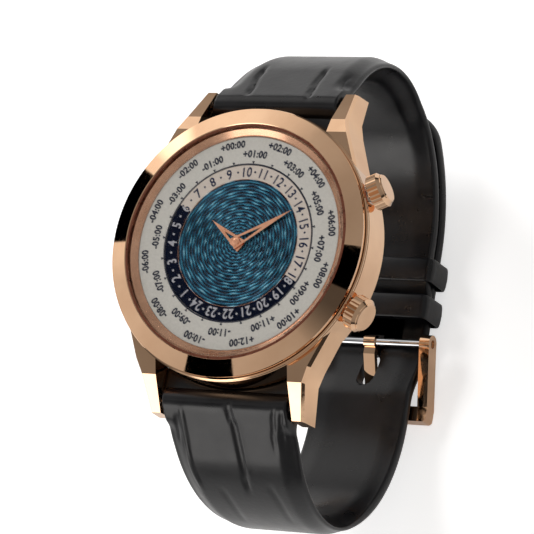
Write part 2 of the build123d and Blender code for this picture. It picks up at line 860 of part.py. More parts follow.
def crown(angle):
    with BuildPart() as part:
        with BuildSketch(radial_plane(angle)):
            with BuildLine():
                Polyline(
                    (cavity_end, 0),
                    (cavity_end, crown_cavity_radius),
                    (crown_inner_end, crown_cavity_radius),
                    (crown_inner_end, crown_radius - crown_inner_edge),
                    (crown_inner_end + crown_inner_edge, crown_radius),
                    (crown_band_end, crown_radius),
                    (crown_cone_end, crown_face_radius),
                    (crown_end - crown_face_round, crown_face_radius),
                    (crown_end, crown_face_radius - crown_face_round),
                    (crown_end, 0),
                    close=True,
                )
            make_face()
        revolve(axis=radial_axis(angle))
        with BuildSketch(outward(angle).offset(crown_inner_end)):
            with PolarLocations(crown_radius - crown_flute_depth, flute_count):
                Polygon(
                    (0, 0),
                    (2 * crown_flute_depth, -crown_flute_width),
                    (2 * crown_flute_depth, crown_flute_width),
                    align=None,
                )
        extrude(amount=crown_band_length, mode=Mode.SUBTRACT)
    return part


def stem(angle):
    with BuildPart() as part:
        with BuildSketch(outward(angle).offset(stem_inner_end)):
            Circle(stem_radius)
        extrude(amount=cavity_end - stem_inner_end)
    return part


def crown_tube(angle):
    with BuildPart() as part:
        with BuildSketch(outward(angle).offset(case_radius - tube_sink)):
            Circle(tube_radius)
            Circle(tube_bore, mode=Mode.SUBTRACT)
        extrude(amount=tube_sink + crown_gap + crown_cavity_depth - tube_end_gap)
    return part


for crown_name, direction_angle in crown_directions.items():
    save(crown(direction_angle), crown_name + "_crown")
    save(stem(direction_angle), crown_name + "_stem")
    save(crown_tube(direction_angle), crown_name + "_crown_tube")

# Spring bars between the lugs.


def spring_bar(y):
    half = lug_gap / 2
    with BuildPart() as part:
        with BuildSketch(Plane(origin=(-half + bar_end_gap, y, bar_z), z_dir=(1, 0, 0))):
            Circle(bar_radius)
        extrude(amount=2 * (half - bar_end_gap))
        with BuildSketch(Plane(origin=(-half - bar_pin_length, y, bar_z), z_dir=(1, 0, 0))):
            Circle(bar_pin_radius)
        extrude(amount=2 * (half + bar_pin_length))
    return part


save(spring_bar(bar_y), "spring_bar_12")
save(spring_bar(-bar_y), "spring_bar_6")

# Strap: both halves leave the lugs at a slant, bend round the wrist and meet at the buckle.

lead_cos = cos(radians(strap_lead_angle))
lead_sin = sin(radians(strap_lead_angle))
bend_y = bar_y + strap_lead * lead_cos - strap_bend_radius * lead_sin
bend_z = bar_z - strap_lead * lead_sin - strap_bend_radius * lead_cos
inner_layer_z = bend_z - strap_bend_radius
outer_layer_z = inner_layer_z - strap_end_thickness - strap_layer_gap
strap_half_width = lug_gap / 2 - strap_side_gap
half_thin = strap_end_thickness / 2
lead_half = strap_thickness / 2
lead_start = (bar_y, bar_z)
lead_end = (bar_y + strap_lead * lead_cos, bar_z - strap_lead * lead_sin)


def beside_lead(point, distance):
    # A point beside the slanted lead, outward of its middle line if the distance is positive.
    return (point[0] + distance * lead_sin, point[1] + distance * lead_cos)


def on_bend(radius, angle):
    return (bend_y + radius * cos(radians(angle)), bend_z + radius * sin(radians(angle)))


def strap_flank(side, hand):
    # One edge of a half strap in side view, from the spring bar to the start of the flat.
    thin_angle = strap_thin_angle - 90
    radius = strap_bend_radius + side * half_thin
    thin_start = on_bend(radius, thin_angle)
    root = beside_lead(lead_start, side * strap_end_radius)
    thick = beside_lead(lead_end, side * lead_half)
    thinning = on_bend(strap_bend_radius + side * (lead_half + half_thin) / 2,
                       (90 - strap_lead_angle + thin_angle) / 2)
    Line(flipped(root, hand), flipped(thick, hand))
    ThreePointArc(flipped(thick, hand), flipped(thinning, hand), flipped(thin_start, hand))
    ThreePointArc(
        flipped(thin_start, hand),
        flipped(on_bend(radius, (thin_angle - 90) / 2), hand),
        flipped(on_bend(radius, -90), hand),
    )


def flipped(point, hand):
    return (hand * point[0], point[1])


def strap_root(hand):
    # The rounded end that holds the spring bar.
    back = (bar_y - strap_end_radius * lead_cos, bar_z + strap_end_radius * lead_sin)
    ThreePointArc(
        flipped(beside_lead(lead_start, strap_end_radius), hand),
        flipped(back, hand),
        flipped(beside_lead(lead_start, -strap_end_radius), hand),
    )


def strap_heel(hand):
    # A ledge behind the rounded end that follows the curve of the case and closes the gap beside it.
    heel_bottom = bar_z + strap_heel_top - strap_heel_thickness
    with BuildSketch(Plane.XY.offset(heel_bottom)) as plan:
        with Locations((0, hand * bar_y / 2)):
            Rectangle(2 * strap_half_width, bar_y)
        Circle(case_radius + strap_heel_gap, mode=Mode.SUBTRACT)
    extrude(plan.sketch, amount=strap_heel_thickness)
    with BuildSketch(Plane.YZ) as bore:
        with Locations((hand * bar_y, bar_z)):
            Circle(bar_bore_radius)
    extrude(bore.sketch, amount=strap_half_width, both=True, mode=Mode.SUBTRACT)


def trim_width():
    # The half strap narrows from the lugs to the buckle, seen from its end.
    low = inner_layer_z - strap_bend_radius
    taper_top = bar_z - strap_taper_start
    taper_low = bend_z - strap_taper_drop
    end_half = strap_end_width / 2
    with BuildSketch(Plane.XZ) as outline:
        with BuildLine():
            Polyline(
                (-strap_half_width, bar_z + strap_bend_radius),
                (-strap_half_width, taper_top),
                (-end_half, taper_low),
                (-end_half, low),
                (end_half, low),
                (end_half, taper_low),
                (strap_half_width, taper_top),
                (strap_half_width, bar_z + strap_bend_radius),
                close=True,
            )
        make_face()
    extrude(outline.sketch, amount=bar_y + 2 * strap_bend_radius, both=True, mode=Mode.INTERSECT)


bar_bore_radius = bar_radius + bar_hole_clearance
buckle_bore_radius = buckle_bar_radius + bar_hole_clearance

with BuildPart() as strap_short:
    with BuildSketch(Plane.YZ):
        with BuildLine():
            strap_flank(1, 1)
            strap_flank(-1, 1)
            strap_root(1)
            Line((bend_y, inner_layer_z - half_thin), (buckle_bar_y, inner_layer_z - half_thin))
            Line((bend_y, inner_layer_z + half_thin), (buckle_bar_y, inner_layer_z + half_thin))
            ThreePointArc(
                (buckle_bar_y, inner_layer_z - half_thin),
                (buckle_bar_y - half_thin, inner_layer_z),
                (buckle_bar_y, inner_layer_z + half_thin),
            )
        make_face()
        with Locations((buckle_bar_y, inner_layer_z)):
            Circle(buckle_bore_radius, mode=Mode.SUBTRACT)
    extrude(amount=strap_half_width, both=True)
    trim_width()
    strap_heel(1)
    with BuildSketch(Plane.XY.offset(inner_layer_z - strap_end_thickness)):
        with Locations((0, buckle_bar_y + tongue_slot_back)):
            Rectangle(tongue_width + 2 * tongue_slot_gap, 2 * strap_end_thickness + tongue_slot_back,
                      align=(Align.CENTER, Align.MAX))
    extrude(amount=2 * strap_end_thickness, mode=Mode.SUBTRACT)
save(strap_short, "strap_short")

# The long half passes through the buckle to the outside of the short half and ends in a rounded tip.

ramp_start_y = -(-buckle_bar_y + buckle_reach - buckle_ramp_lead)
ramp_end_y = ramp_start_y + buckle_ramp_length
outer_radius = strap_bend_radius + strap_end_thickness + strap_layer_gap

with BuildPart() as strap_long:
    with BuildSketch(Plane.YZ):
        with BuildLine():
            strap_flank(1, -1)
            strap_flank(-1, -1)
            strap_root(-1)
            for side in (-1, 1):
                near = inner_layer_z + side * half_thin
                far = outer_layer_z + side * half_thin
                Line((-bend_y, near), (ramp_start_y, near))
                Spline(((ramp_start_y, near), (ramp_end_y, far)), tangents=[(1, 0), (1, 0)])
                Line((ramp_end_y, far), (bend_y, far))
                CenterArc((bend_y, bend_z), outer_radius - side * half_thin, -90, strap_tail_angle)
            Line(on_bend(outer_radius - half_thin, strap_tail_angle - 90),
                 on_bend(outer_radius + half_thin, strap_tail_angle - 90))
        make_face()
    extrude(amount=strap_half_width, both=True)
    trim_width()
    strap_heel(-1)
    with BuildSketch(Plane.XY.offset(outer_layer_z - strap_end_thickness)):
        with Locations((0, buckle_bar_y - strap_hole_offset)):
            RectangleRounded(strap_hole_width, strap_hole_length, strap_hole_width / 3)
    extrude(amount=3 * strap_end_thickness, mode=Mode.SUBTRACT)
    tip_middle = on_bend(outer_radius, strap_tail_angle - 90)
    tip_face = strap_long.faces().sort_by_distance((0, tip_middle[0], tip_middle[1]))[0]
    fillet(tip_face.edges().sort_by(SortBy.LENGTH)[0:2], strap_tip_round)
save(strap_long, "strap_long")

# Pin buckle: a frame, its bar and the tongue.

buckle_beam_y = buckle_bar_y - buckle_reach - buckle_beam_width
beam_top = inner_layer_z - half_thin - strap_layer_gap
beam_bottom = beam_top - buckle_beam_thickness
frame_inner = strap_end_width / 2 + buckle_side_gap
frame_outer = frame_inner + buckle_side_width
with BuildPart() as buckle_frame:
    with BuildSketch(Plane.YZ):
        with BuildLine():
            Polyline(
                (buckle_bar_y, inner_layer_z + buckle_boss_radius),
                (buckle_bar_y, inner_layer_z - buckle_boss_radius),
                (buckle_bar_y - buckle_reach, beam_bottom),
                (buckle_beam_y, beam_bottom),
                (buckle_beam_y, beam_top),
                (buckle_bar_y - buckle_reach, beam_top),
                close=True,
            )
        make_face()
        with Locations((buckle_bar_y, inner_layer_z)):
            Circle(buckle_boss_radius)
            Circle(buckle_bore_radius, mode=Mode.SUBTRACT)
    extrude(amount=frame_outer, both=True)
    with BuildSketch(Plane.XY.offset(inner_layer_z - buckle_reach)):
        with Locations((0, buckle_bar_y - buckle_reach)):
            Rectangle(2 * frame_inner, 2 * buckle_reach, align=(Align.CENTER, Align.MIN))
    extrude(amount=2 * buckle_reach, mode=Mode.SUBTRACT)
    with BuildSketch(Plane.XY.offset(beam_bottom - overrun)):
        with Locations((0, buckle_beam_y + buckle_beam_width / 2)):
            Rectangle(tongue_width + 2 * buckle_notch_gap, buckle_beam_width + 2 * overrun)
    extrude(amount=overrun + buckle_notch_depth, mode=Mode.SUBTRACT)
    outer_corners = buckle_frame.edges().filter_by(Axis.Z).group_by(Axis.Y)[0]
    fillet(outer_corners, buckle_beam_round)
save(buckle_frame, "buckle_frame")

with BuildPart() as buckle_bar:
    bar_half = frame_outer - buckle_bar_sink / 2
    with BuildSketch(Plane(origin=(-bar_half, buckle_bar_y, inner_layer_z), z_dir=(1, 0, 0))):
        Circle(buckle_bar_radius)
    extrude(amount=2 * bar_half)
save(buckle_bar, "buckle_bar")

notch_z = beam_bottom + buckle_notch_depth
tongue_end_y = buckle_beam_y - tongue_tip_overhang
with BuildPart() as buckle_tongue:
    with BuildSketch(Plane.YZ):
        with BuildLine():
            root_bottom = inner_layer_z - tongue_root_drop
            Polyline(
                (buckle_bar_y, root_bottom + tongue_thickness),
                (buckle_bar_y, root_bottom),
                (buckle_bar_y - tongue_root_length, root_bottom),
                (buckle_bar_y - buckle_reach, notch_z - tongue_thickness),
                (tongue_end_y, notch_z - tongue_thickness),
                (tongue_end_y, notch_z),
                (buckle_bar_y - buckle_reach, notch_z),
                (buckle_bar_y - tongue_root_length, root_bottom + tongue_thickness),
                close=True,
            )
        make_face()
        with Locations((buckle_bar_y, inner_layer_z)):
            Circle(tongue_eye_radius)
            Circle(buckle_bar_radius + arbor_clearance, mode=Mode.SUBTRACT)
    extrude(amount=tongue_width / 2, both=True)
save(buckle_tongue, "buckle_tongue")


def keeper(y):
    # A leather loop round both layers of the strap.
    top = inner_layer_z + half_thin + keeper_gap
    bottom = outer_layer_z - half_thin - keeper_gap
    with BuildPart() as part:
        with BuildSketch(Plane.XZ.offset(-y + keeper_width / 2)):
            with Locations((0, (top + bottom) / 2)):
                RectangleRounded(strap_end_width + 2 * (keeper_gap + keeper_wall),
                                 top - bottom + 2 * keeper_wall, keeper_round)
                Rectangle(strap_end_width + 2 * keeper_gap, top - bottom, mode=Mode.SUBTRACT)
        extrude(amount=-keeper_width)
    return part


save(keeper(buckle_bar_y + fixed_keeper_offset), "fixed_keeper")
save(keeper(buckle_bar_y + sliding_keeper_offset), "sliding_keeper")
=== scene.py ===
import math

import bpy
from mathutils import Matrix, Vector


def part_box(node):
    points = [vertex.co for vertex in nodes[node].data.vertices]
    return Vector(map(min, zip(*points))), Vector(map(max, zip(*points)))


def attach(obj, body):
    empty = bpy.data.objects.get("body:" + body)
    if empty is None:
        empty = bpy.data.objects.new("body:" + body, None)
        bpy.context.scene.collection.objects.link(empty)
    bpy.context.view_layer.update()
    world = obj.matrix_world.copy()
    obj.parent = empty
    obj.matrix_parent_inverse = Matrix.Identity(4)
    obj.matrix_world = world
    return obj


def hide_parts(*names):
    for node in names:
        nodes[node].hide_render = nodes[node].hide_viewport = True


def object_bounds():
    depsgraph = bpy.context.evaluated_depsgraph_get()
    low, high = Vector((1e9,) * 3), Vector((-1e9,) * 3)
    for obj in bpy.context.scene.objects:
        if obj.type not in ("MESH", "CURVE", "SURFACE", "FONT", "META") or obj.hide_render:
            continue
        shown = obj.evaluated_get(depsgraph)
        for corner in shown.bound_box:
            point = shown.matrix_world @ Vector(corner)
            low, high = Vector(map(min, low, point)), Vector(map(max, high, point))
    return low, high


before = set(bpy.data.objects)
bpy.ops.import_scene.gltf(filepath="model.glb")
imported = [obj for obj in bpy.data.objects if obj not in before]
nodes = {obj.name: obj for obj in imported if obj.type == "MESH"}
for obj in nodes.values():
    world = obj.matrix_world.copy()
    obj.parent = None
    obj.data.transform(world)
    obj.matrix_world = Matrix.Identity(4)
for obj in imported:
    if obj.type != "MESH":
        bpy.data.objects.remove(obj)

mm = 0.001
cad_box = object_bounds()

# Shared sizes, in millimetres
dial_height = 8.1
ring_gap_radius = 11.2
centre_dial_radius = 9.12
centre_hole_radius = 0.7
tick_radius = 11.47
numeral_radius = 0.89 * tick_radius
inner_row_radius = 1.12 * tick_radius
outer_row_radius = 1.25 * tick_radius
arrow_radius = 1.006 * tick_radius
text_lift = 0.012

# Strap: places of its bars and bends, thickness and width
strap_bar_y = 21.5
strap_bar_z = 2.7
strap_lead = 8.0
strap_lead_angle = 45.0
strap_bend_radius = 20.0
strap_thin_angle = -35.0
strap_thick_half = 2.1
strap_thin_half = 1.1
strap_end_radius = 1.94
strap_half_width = 10.0
strap_end_half_width = 8.0
strap_taper_start = 4.0
strap_taper_drop = 8.0
strap_layer_gap = 0.3
strap_tail_angle = 56.0
strap_tip_round = 5.0
strap_side_gap = 0.15
buckle_bar_y = -1.5
ramp_start_y = 10.2
ramp_end_y = 2.7

# Holes and slots through the strap
strap_cut_reach = 12
spring_bar_hole_radius = 0.79
buckle_bar_hole_radius = 0.64
tongue_slot_half_width = 1.2
tongue_slot_behind = 3
tongue_slot_ahead = 1.4
tongue_hole_offset = 4.1
tongue_hole_width = 2.6
tongue_hole_length = 5.2

# Heels, dark leather that fills the gap between case and strap as a painted shadow, and keepers
shade_heel_radius = 19.49
shade_heel_middle = 2.3
shade_heel_half_width = 10.17
shade_heel_half_height = 0.95
shade_heel_bar_distance = 0.95
keeper_wall = 0.7
keeper_corner = 0.5
keeper_end_gap = 0.03
keeper_inner_gap = 0.02

# Turns of the dial's rings, in degrees
hour_step = 15
city_rotation = 1.75
hour24_rotation = 2.5
day_middle = 27.5

# Engine turning, in millimetres: rings at one pitch that sway over a lattice of lozenges
turning_pitch = 0.46
turning_sway = 0.08
turning_depth = 0.03
turning_height = 0.028
lozenge_height = 0.026
lozenges_round = 15
lozenge_waves = 3.1
lozenge_full_radius = 4.0

# Share of the CAD strap's half thickness that the leather takes
leather_share = 0.97


def polar(radius, angle):
    return (radius * math.cos(math.radians(angle)), radius * math.sin(math.radians(angle)))


def clock_point(radius, angle):
    # A point on the dial, with the angle in radians and clockwise from 12 o'clock.
    return (radius * math.sin(angle), radius * math.cos(angle))


# Node helpers
def new_material(name):
    mat = bpy.data.materials.new(name)
    mat.use_nodes = True
    tree = mat.node_tree
    tree.nodes.clear()
    out = tree.nodes.new("ShaderNodeOutputMaterial")
    shader = tree.nodes.new("ShaderNodeBsdfPrincipled")
    tree.links.new(shader.outputs["BSDF"], out.inputs["Surface"])
    return mat, tree, shader


def settings(shader, **values):
    for key, value in values.items():
        socket = shader.inputs[key.replace("_", " ")]
        socket.default_value = value


def vector_math(tree, operation, first, second=None):
    node = tree.nodes.new("ShaderNodeVectorMath")
    node.operation = operation
    tree.links.new(first, node.inputs[0])
    if second is not None:
        node.inputs[1].default_value = second
    return node.outputs["Vector" if operation == "MULTIPLY" else "Value"]


def object_coordinates(tree):
    return tree.nodes.new("ShaderNodeTexCoord").outputs["Object"]


def noise(tree, vector, scale, detail=3.0, rough=0.5):
    node = tree.nodes.new("ShaderNodeTexNoise")
    node.inputs["Scale"].default_value = scale
    node.inputs["Detail"].default_value = detail
    node.inputs["Roughness"].default_value = rough
    tree.links.new(vector, node.inputs["Vector"])
    return node.outputs["Fac"]


def map_range(tree, value, low, high, to_low, to_high):
    node = tree.nodes.new("ShaderNodeMapRange")
    node.inputs["From Min"].default_value = low
    node.inputs["From Max"].default_value = high
    node.inputs["To Min"].default_value = to_low
    node.inputs["To Max"].default_value = to_high
    tree.links.new(value, node.inputs["Value"])
    return node.outputs["Result"]


def ramp(tree, value, stops):
    node = tree.nodes.new("ShaderNodeValToRGB")
    ramp_data = node.color_ramp
    while len(ramp_data.elements) < len(stops):
        ramp_data.elements.new(0.5)
    for element, (place, colour) in zip(ramp_data.elements, stops):
        element.position = place
        element.color = (*colour, 1.0)
    tree.links.new(value, node.inputs["Fac"])
    return node.outputs["Color"]


def math_node(tree, operation, first, second=None):
    node = tree.nodes.new("ShaderNodeMath")
    node.operation = operation
    for slot_index, value in enumerate((first, second)):
        if value is None:
            continue
        if isinstance(value, (int, float)):
            node.inputs[slot_index].default_value = value
        else:
            tree.links.new(value, node.inputs[slot_index])
    return node.outputs[0]


def bump(tree, shader, height, strength, distance):
    node = tree.nodes.new("ShaderNodeBump")
    node.inputs["Strength"].default_value = strength
    node.inputs["Distance"].default_value = distance * mm
    tree.links.new(height, node.inputs["Height"])
    tree.links.new(node.outputs["Normal"], shader.inputs["Normal"])


# Materials
def polished_metal(name, low, high, rough=(0.015, 0.05)):
    # Polished metal: colour and gloss drift a little, with hairline wear.
    mat, tree, shader = new_material(name)
    settings(shader, Metallic=1.0)
    where = object_coordinates(tree)
    drift = noise(tree, where, 180)
    tree.links.new(ramp(tree, drift, [(0.3, low), (0.7, high)]), shader.inputs["Base Color"])
    wear = noise(tree, where, 1400, 4.0, 0.6)
    tree.links.new(map_range(tree, wear, 0.35, 0.7, rough[0], rough[1]), shader.inputs["Roughness"])
    return mat


def brushed_metal(name, low, high, rough, stretch, strength=0.25):
    # Satin metal: fine lines along one direction, from noise squeezed across it.
    mat, tree, shader = new_material(name)
    settings(shader, Metallic=1.0)
    mapping = tree.nodes.new("ShaderNodeMapping")
    mapping.inputs["Scale"].default_value = stretch
    tree.links.new(object_coordinates(tree), mapping.inputs["Vector"])
    lines = noise(tree, mapping.outputs["Vector"], 1.0, 4.0, 0.6)
    tree.links.new(ramp(tree, lines, [(0.25, low), (0.75, high)]), shader.inputs["Base Color"])
    tree.links.new(map_range(tree, lines, 0.2, 0.8, rough - 0.06, rough + 0.08), shader.inputs["Roughness"])
    bump(tree, shader, lines, strength, 0.01)
    return mat


def turned_metal(name, low, high, rough, lines_per_mm, strength=0.3):
    # Metal with fine concentric turning lines about the watch's axis.
    mat, tree, shader = new_material(name)
    settings(shader, Metallic=1.0)
    where = object_coordinates(tree)
    radius = vector_math(tree, "LENGTH", vector_math(tree, "MULTIPLY", where, (1, 1, 0)))
    turns = math_node(tree, "MULTIPLY", radius, lines_per_mm * 2 * math.pi / mm)
    wave = math_node(tree, "SINE", turns)
    drift = noise(tree, where, 250)
    tree.links.new(ramp(tree, drift, [(0.3, low), (0.7, high)]), shader.inputs["Base Color"])
    tree.links.new(map_range(tree, drift, 0.3, 0.7, rough - 0.04, rough + 0.04), shader.inputs["Roughness"])
    bump(tree, shader, wave, strength, 0.006)
    return mat


def painted(name, low, high, rough, metallic=0.0, grain=900, coat=0.0, depth=0.004):
    mat, tree, shader = new_material(name)
    settings(shader, Metallic=metallic, Coat_Weight=coat, Coat_Roughness=0.06)
    where = object_coordinates(tree)
    drift = noise(tree, where, grain, 4.0, 0.6)
    tree.links.new(ramp(tree, drift, [(0.3, low), (0.7, high)]), shader.inputs["Base Color"])
    tree.links.new(map_range(tree, drift, 0.3, 0.7, rough - 0.05, rough + 0.05), shader.inputs["Roughness"])
    bump(tree, shader, noise(tree, where, grain * 6, 2.0), 0.2, depth)
    return mat


def leather_material():
    # Black glazed leather: creases come from the mesh, pores and fine wrinkles from here.
    mat, tree, shader = new_material("leather_black")
    settings(shader, Specular_IOR_Level=0.3, Coat_Weight=0.3, Coat_Roughness=0.22)
    where = object_coordinates(tree)
    drift = noise(tree, where, 260, 4.0)
    tree.links.new(
        ramp(tree, drift, [(0.3, (0.002, 0.002, 0.003)), (0.7, (0.006, 0.006, 0.008))]),
        shader.inputs["Base Color"],
    )
    tree.links.new(map_range(tree, drift, 0.3, 0.7, 0.26, 0.38), shader.inputs["Roughness"])
    pores = tree.nodes.new("ShaderNodeTexVoronoi")
    pores.inputs["Scale"].default_value = 1500
    tree.links.new(where, pores.inputs["Vector"])
    wrinkles = noise(tree, where, 900, 5.0, 0.65)
    height = math_node(tree, "ADD", math_node(tree, "MULTIPLY", pores.outputs["Distance"], 0.4), wrinkles)
    bump(tree, shader, height, 0.3, 0.05)
    return mat


def sapphire_material():
    mat, tree, shader = new_material("sapphire")
    settings(shader, Base_Color=(1, 1, 1, 1), Transmission_Weight=1.0, IOR=1.2, Alpha=0.1)
    haze = noise(tree, object_coordinates(tree), 120)
    tree.links.new(map_range(tree, haze, 0.3, 0.7, 0.0, 0.015), shader.inputs["Roughness"])
    return mat


rose_low = (0.80, 0.50, 0.31)
rose_high = (0.90, 0.59, 0.375)
rose_polished = polished_metal("rose_gold_polished", rose_low, rose_high)
rose_satin = brushed_metal("rose_gold_satin", (0.9, 0.42, 0.25), (0.99, 0.52, 0.33), 0.28, (900, 900, 900))
# The rehaut's turned rose gold is darker than the case's: painted shade of its place in the recess under the
# bezel.
rose_turned_shaded = turned_metal("rose_gold_turned_shaded", (0.6, 0.33, 0.21), (0.74, 0.43, 0.28), 0.12, 2.4, 0.12)
steel_polished = polished_metal("steel_polished", (0.5, 0.51, 0.53), (0.7, 0.71, 0.73))
steel_turned = turned_metal("steel_turned", (0.45, 0.46, 0.48), (0.66, 0.67, 0.69), 0.24, 4.0)
nickel_plate = painted("nickel_plate", (0.5, 0.48, 0.45), (0.68, 0.66, 0.62), 0.3, metallic=1.0)
gilt = polished_metal("gilt_brass", (0.66, 0.45, 0.16), (0.86, 0.64, 0.3), (0.1, 0.2))
rotor_gold = brushed_metal("rotor_gold", (0.66, 0.44, 0.27), (0.86, 0.62, 0.42), 0.28, (60, 2400, 400))
ruby = painted("ruby", (0.42, 0.005, 0.05), (0.62, 0.02, 0.1), 0.12, coat=1.0)
# The gaskets' rose brown is a painted reflection of the rose gold at the crystal's edge.
gasket_painted_reflection = painted("gasket_painted_reflection", (0.13, 0.036, 0.018), (0.22, 0.065, 0.032), 0.3, metallic=0.4)
navy_print_and_shadow = painted("navy_print_and_shadow", (0.002, 0.004, 0.018), (0.004, 0.007, 0.026), 0.5, grain=2400)
pale_print = painted("pale_print", (0.42, 0.4, 0.39), (0.5, 0.48, 0.46), 0.45, grain=2400)
leather = leather_material()
sapphire = sapphire_material()


# Mesh helpers
def linked(name, data):
    item = bpy.data.objects.new(name, data)
    bpy.context.scene.collection.objects.link(item)
    return item


def mesh_piece(name, points, faces, body, material, smooth=True):
    # A new piece of the visual model from points in millimetres, riding on a CAD body.
    data = bpy.data.meshes.new(name)
    data.from_pydata([(x * mm, y * mm, z * mm) for x, y, z in points], [], faces)
    data.update()
    for face in data.polygons:
        face.use_smooth = smooth
    piece = linked(name, data)
    piece.data.materials.append(material)
    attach(piece, body)
    return piece


def paint(node, *materials):
    data = nodes[node].data
    data.materials.clear()
    for material in materials:
        data.materials.append(material)


# CAD nodes and their finishes
finishes = {
    rose_polished: ["case_middle", "bezel", "upper_crown", "lower_crown", "caseback_ring", "buckle_frame",
                    "buckle_tongue"],
    rose_satin: ["hour_hand", "minute_hand", "cannon_pinion"],
    rose_turned_shaded: ["rehaut_ring"],
    steel_polished: ["upper_stem", "lower_stem", "upper_crown_tube", "lower_crown_tube", "spring_bar_12",
                     "spring_bar_6", "buckle_bar", "hour_pipe", "bridge_screws"],
    steel_turned: ["ratchet_wheel", "crown_wheel"],
    nickel_plate: ["dial_plate", "movement_holder", "mainplate", "barrel_bridge", "train_bridge",
                   "balance_cock"],
    gilt: ["balance_wheel", "rotor_bearing"],
    rotor_gold: ["rotor"],
    ruby: ["jewels"],
    gasket_painted_reflection: ["crystal_gasket", "caseback_gasket"],
    sapphire: ["crystal", "caseback_crystal"],
    leather: ["strap_short", "strap_long", "fixed_keeper", "sliding_keeper"],
    pale_print: ["hour24_ring", "city_ring", "centre_dial"],
}
for material, names in finishes.items():
    for name in names:
        paint(name, material)


# Dial
def dial_blue_material():
    # Blue lacquer over engine turning, coloured by height: dark in the hollows as painted shade, and pale
    # blue-white on the crests as painted glints.
    mat, tree, shader = new_material("dial_blue")
    settings(shader, Metallic=0.9, Coat_Weight=0.5, Coat_IOR=1.5, Coat_Roughness=0.14)
    where = object_coordinates(tree)
    split = tree.nodes.new("ShaderNodeSeparateXYZ")
    tree.links.new(where, split.inputs["Vector"])
    low = (dial_height - 0.08) * mm
    high = (dial_height + 0.03) * mm
    painted_relief_light = map_range(tree, split.outputs["Z"], low, high, 0.0, 1.0)
    drift = noise(tree, where, 400, 3.0)
    level = math_node(tree, "ADD", math_node(tree, "MULTIPLY", painted_relief_light, 0.9),
                      math_node(tree, "MULTIPLY", drift, 0.1))
    # Colour stops by height: the near-black low stop is painted shade in the hollows, the pale blue-white top
    # stop a painted glint on the lozenge crests.
    stops = [(0.25, (0.0, 0.008, 0.02)), (0.53, (0.0, 0.073, 0.147)), (0.75, (0.038, 0.26, 0.37)),
             (0.91, (0.38, 0.58, 0.65))]
    tree.links.new(ramp(tree, level, stops), shader.inputs["Base Color"])
    tree.links.new(map_range(tree, drift, 0.3, 0.7, 0.12, 0.2), shader.inputs["Roughness"])
    return mat


def day_side(tree):
    # 1 on the day half of the 24-hour ring, 0 on its night half, parted by a straight diameter.
    x, y = clock_point(1, math.radians(day_middle))
    axis = (x, y, 0)
    towards = vector_math(tree, "DOT_PRODUCT", object_coordinates(tree), axis)
    return math_node(tree, "GREATER_THAN", towards, 0.0)


def two_tone(name, day, night, rough):
    mat, tree, shader = new_material(name)
    settings(shader, Specular_IOR_Level=0.06)
    side = day_side(tree)
    grain = noise(tree, object_coordinates(tree), 2600, 4.0, 0.6)
    colours = []
    for low, high in (night, day):
        colours.append(ramp(tree, grain, [(0.3, low), (0.7, high)]))
    blend = tree.nodes.new("ShaderNodeMix")
    blend.data_type = "RGBA"
    tree.links.new(side, blend.inputs[0])
    tree.links.new(colours[0], blend.inputs[6])
    tree.links.new(colours[1], blend.inputs[7])
    tree.links.new(blend.outputs[2], shader.inputs["Base Color"])
    tree.links.new(map_range(tree, grain, 0.3, 0.7, rough - 0.05, rough + 0.05), shader.inputs["Roughness"])
    bump(tree, shader, grain, 0.15, 0.004)
    return mat


def relief(radius, angle):
    # Height of the engine turning: rings with straight flanks, and lozenges that fade out at the centre.
    lozenge = math.cos(lozenges_round * angle) * math.cos(lozenge_waves * radius)
    turn = 2 * math.pi * (radius + turning_sway * lozenge) / turning_pitch
    fine = math.cos(turn) + math.cos(3 * turn) / 9
    fade = min(1.0, radius / lozenge_full_radius)
    return -turning_depth + fade * lozenge_height * lozenge + turning_height * fine


def build_centre_dial():
    # A fine polar grid with the relief on top, and a skirt down to the CAD dial's bottom.
    rows = 160
    columns = 540
    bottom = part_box("centre_dial")[0][2] / mm
    points = []
    faces = []
    radii = [centre_hole_radius + (centre_dial_radius - centre_hole_radius) * row / rows
             for row in range(rows + 1)]
    for radius in radii:
        for column in range(columns):
            angle = 2 * math.pi * column / columns
            points.append((radius * math.cos(angle), radius * math.sin(angle),
                           dial_height + relief(radius, angle)))
    for column in range(columns):
        angle = 2 * math.pi * column / columns
        points.append((centre_dial_radius * math.cos(angle), centre_dial_radius * math.sin(angle), bottom))
    for row in range(rows + 1):
        for column in range(columns):
            here = row * columns + column
            beside = row * columns + (column + 1) % columns
            faces.append((here, here + columns, beside + columns, beside))
    dial = mesh_piece("centre_dial_turned", points, faces, "case", dial_blue_material())
    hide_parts("centre_dial")
    return dial


def letter_shapes(text, height, squeeze, weight):
    # The built-in font's outline of a short text, centred, as points and faces in millimetres.
    data = bpy.data.curves.new("letters", "FONT")
    data.body = text
    data.align_x = "CENTER"
    data.resolution_u = 3
    data.space_character = 1.08
    data.offset = weight
    capital = 0.73  # height of a capital letter at the font's own size
    holder = linked("letters", data)
    shape = bpy.data.meshes.new_from_object(holder.evaluated_get(bpy.context.evaluated_depsgraph_get()))
    points = [(v.co.x * height / capital * squeeze, (v.co.y - capital / 2) * height / capital)
              for v in shape.vertices]
    faces = [tuple(face.vertices) for face in shape.polygons]
    bpy.data.objects.remove(holder)
    bpy.data.curves.remove(data)
    bpy.data.meshes.remove(shape)
    return points, faces


